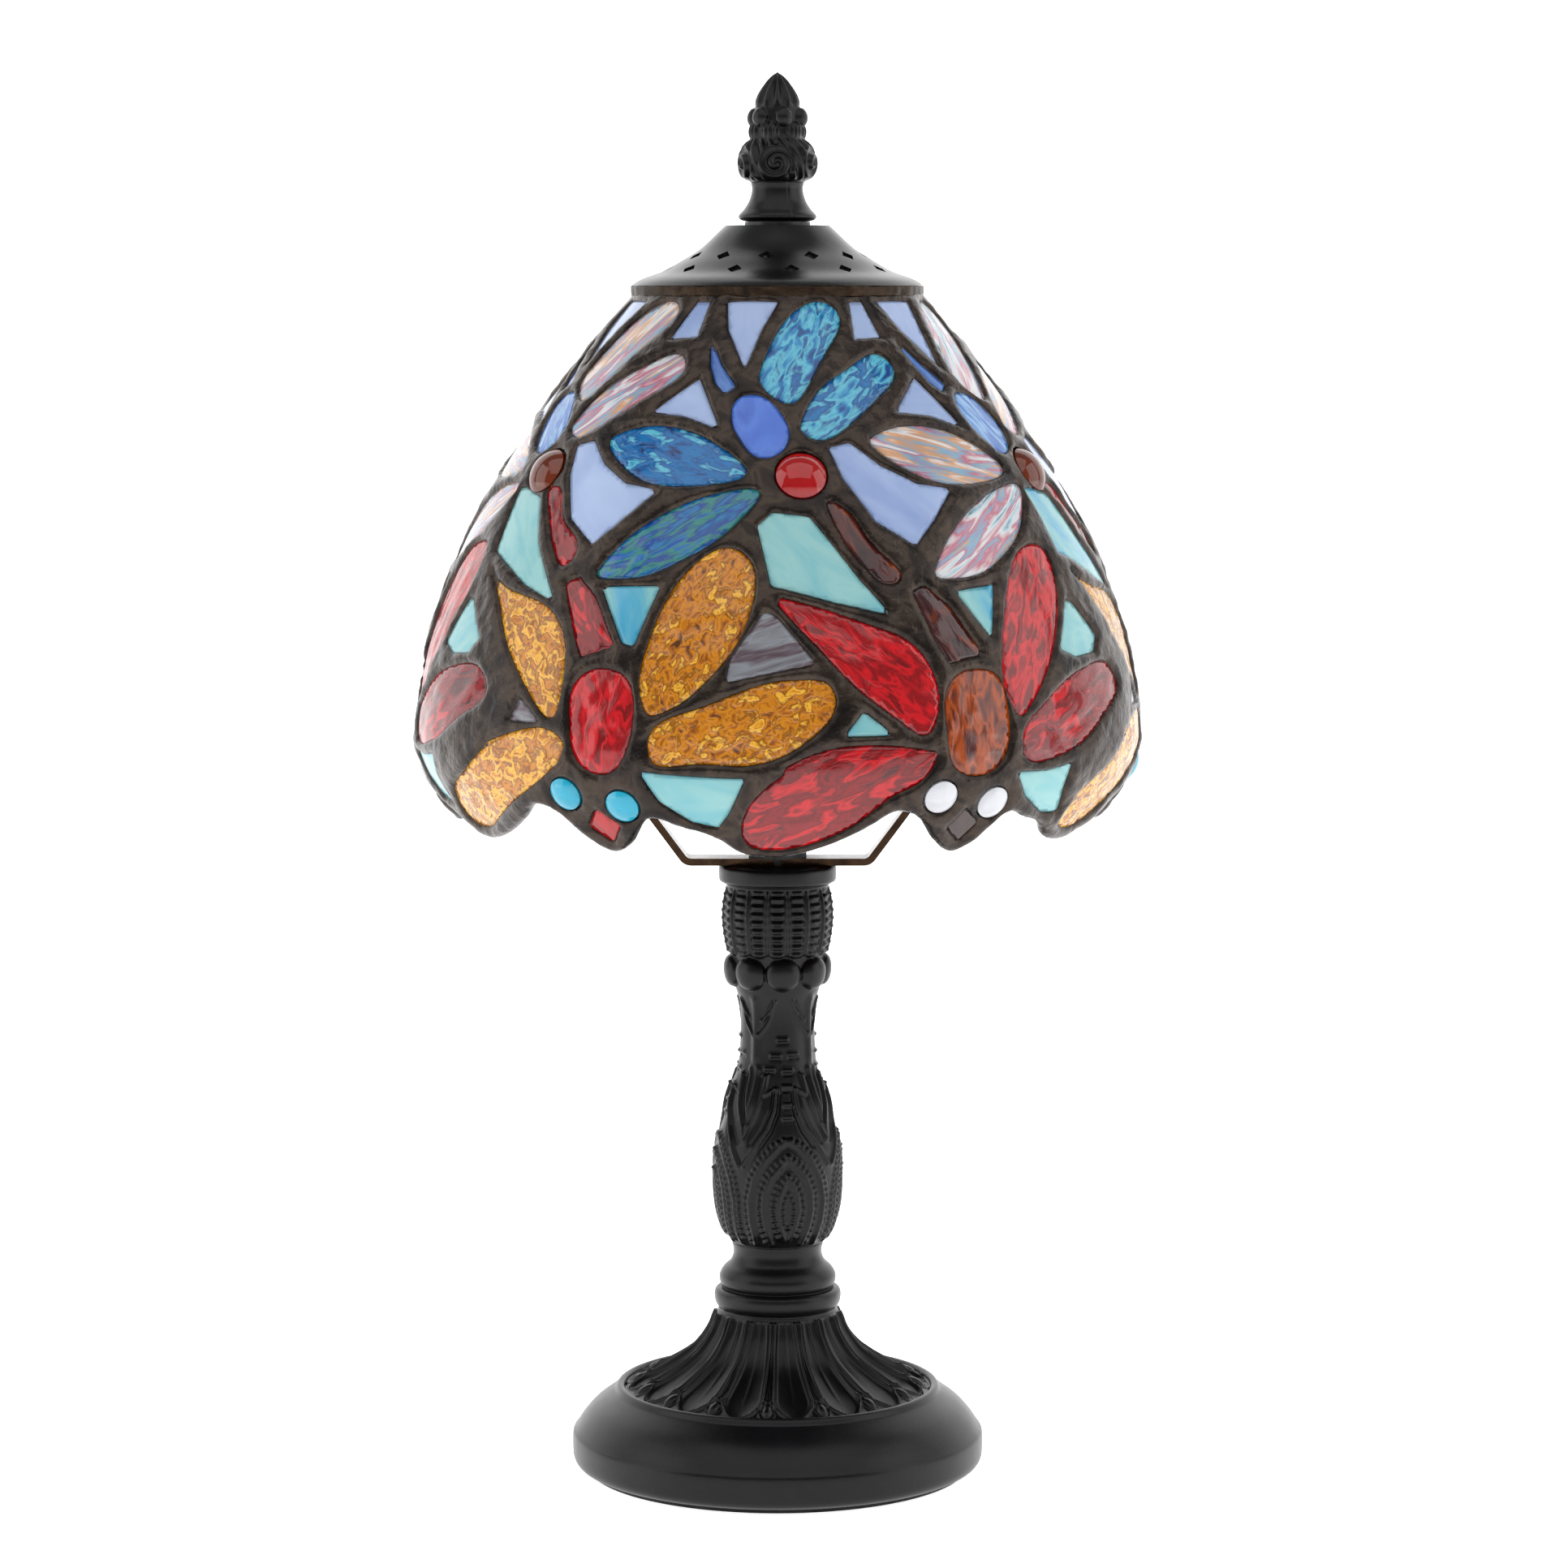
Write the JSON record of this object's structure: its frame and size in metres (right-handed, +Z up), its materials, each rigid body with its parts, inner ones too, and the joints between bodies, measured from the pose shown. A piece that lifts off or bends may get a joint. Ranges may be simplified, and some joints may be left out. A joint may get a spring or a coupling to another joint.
{
  "type": "leaded glass table lamp",
  "caption": "Small table lamp: leaded glass dragonfly shade on a harp and black cast column with a round foot; shade lifts and turns, finial and bulb unscrew.",
  "frame": {"origin": "centre of the underside, where the felt pad rests", "axes": "+Z up through the column to the finial; -Y is the front, opposite the cord gland; +X to the right seen from the front"},
  "size_m": [0.2029, 0.203, 0.3905],
  "materials": {
    "cast_black": "satin black paint over zinc castings",
    "iron_weight": "bare rough cast iron",
    "felt": "black felt",
    "black_plastic": "matt black moulded plastic",
    "zinc_steel": "zinc-plated steel",
    "dark_bronze": "glossy dark bronze plate on a steel strap",
    "white_ceramic": "off-white insulating moulding",
    "brass": "bright brass",
    "clear_glass": "clear blown glass",
    "filament": "bare tungsten and nickel wire",
    "nickel": "nickel-plated brass",
    "black_insulator": "black vitrite insulator",
    "painted_sheet": "satin black painted spun sheet",
    "bronze_band": "dark bronze patina",
    "solder": "tin solder with a dark bronze patina",
    "glass_violet": "violet-blue opal glass",
    "glass_streaky_blue": "blue glass with white streaks",
    "glass_blue": "cyan-blue rippled glass",
    "glass_peacock": "dark blue iridescent rippled glass",
    "glass_iridescent": "clear streaky iridescent glass",
    "glass_tail_blue": "periwinkle opal glass",
    "glass_red": "red rippled glass",
    "glass_amber": "amber hammered glass",
    "glass_brown": "dark brown streaky glass",
    "glass_dark_red": "deep red streaky glass",
    "glass_sky": "periwinkle opalescent glass",
    "glass_aqua": "aqua opalescent glass",
    "glass_grey": "grey and mauve streaky glass",
    "glass_jewel_red": "red pressed glass jewel",
    "glass_jewel_amber": "brown amber pressed glass jewel",
    "glass_eye_clear": "clear textured glass cabochon",
    "glass_eye_cyan": "cyan glass cabochon",
    "glass_nose_dark": "near-black glass",
    "glass_nose_red": "deep red glass"
  },
  "bodies": {
    "stand": {"foot_casting": "cast_black", "base_weight": "iron_weight", "felt_pad": "felt", "cord_gland": "black_plastic", "threaded_tube": "zinc_steel", "tube_washer": "zinc_steel", "tube_nut": "zinc_steel", "column": "cast_black", "column_collar": "cast_black", "harp_strap": "dark_bronze", "harp_lock_nut": "zinc_steel", "harp_stud": "zinc_steel", "harp_stud_nut": "zinc_steel", "lampholder_cap": "black_plastic", "lampholder_sleeve": "black_plastic", "lampholder_insulator": "white_ceramic", "lampholder_shell": "brass", "lampholder_contact": "brass", "terminal_screws": "zinc_steel"},
    "shade_carrier": {"seat_washer": "zinc_steel"},
    "shade": {"vent_cap": "painted_sheet", "top_band": "bronze_band", "shade_leading": "solder", "finial_washer": "zinc_steel", "sky_panes_periwinkle": "glass_sky", "ground_panes_grey": "glass_grey", "ground_panes_aqua": "glass_aqua", "upper_wings_iridescent": "glass_iridescent", "upper_bodies_violet": "glass_violet", "upper_bodies_streaky": "glass_streaky_blue", "upper_wings_peacock": "glass_peacock", "upper_tails_blue": "glass_tail_blue", "lower_bodies_brown": "glass_brown", "lower_bodies_red": "glass_dark_red", "noses_dark": "glass_nose_dark", "noses_red": "glass_nose_red", "jewels_red": "glass_jewel_red", "jewels_amber": "glass_jewel_amber", "eyes_clear": "glass_eye_clear", "eyes_cyan": "glass_eye_cyan", "upper_wings_blue": "glass_blue", "lower_wings_red": "glass_red", "lower_wings_amber": "glass_amber"},
    "finial_carrier": {"finial_insert": "brass"},
    "finial": {"finial": "cast_black"},
    "bulb_carrier": {"bulb_contact": "brass"},
    "bulb": {"bulb_glass": "clear_glass", "bulb_stem": "clear_glass", "bulb_filament": "filament", "bulb_cap": "nickel", "bulb_insulator": "black_insulator"}
  },
  "joints": [
    {"name": "shade_lift", "type": "slide", "parent": "stand", "child": "shade_carrier", "axis": [0, 0, 1], "range_m": [0, 0.19]},
    {"name": "shade_turn", "type": "hinge", "parent": "shade_carrier", "child": "shade", "pos_m": [0, 0, 0.3464], "axis": [0, 0, 1], "continuous": true},
    {"name": "finial_lift", "type": "slide", "parent": "shade", "child": "finial_carrier", "axis": [0, 0, 1], "range_m": [0, 0.008]},
    {"name": "finial_turn", "type": "hinge", "parent": "finial_carrier", "child": "finial", "pos_m": [0, 0, 0.35], "axis": [0, 0, 1], "range_deg": [0, 2880]},
    {"name": "bulb_lift", "type": "slide", "parent": "stand", "child": "bulb_carrier", "axis": [0, 0, 1], "range_m": [0, 0.01128]},
    {"name": "bulb_turn", "type": "hinge", "parent": "bulb_carrier", "child": "bulb", "pos_m": [0, 0, 0.204], "axis": [0, 0, 1], "range_deg": [0, 1440]}
  ],
  "couplings": [
    {"joint": "finial_turn", "follows": "finial_lift", "rad_per_m": 6283.2},
    {"joint": "bulb_turn", "follows": "bulb_lift", "rad_per_m": 2226.5}
  ]
}
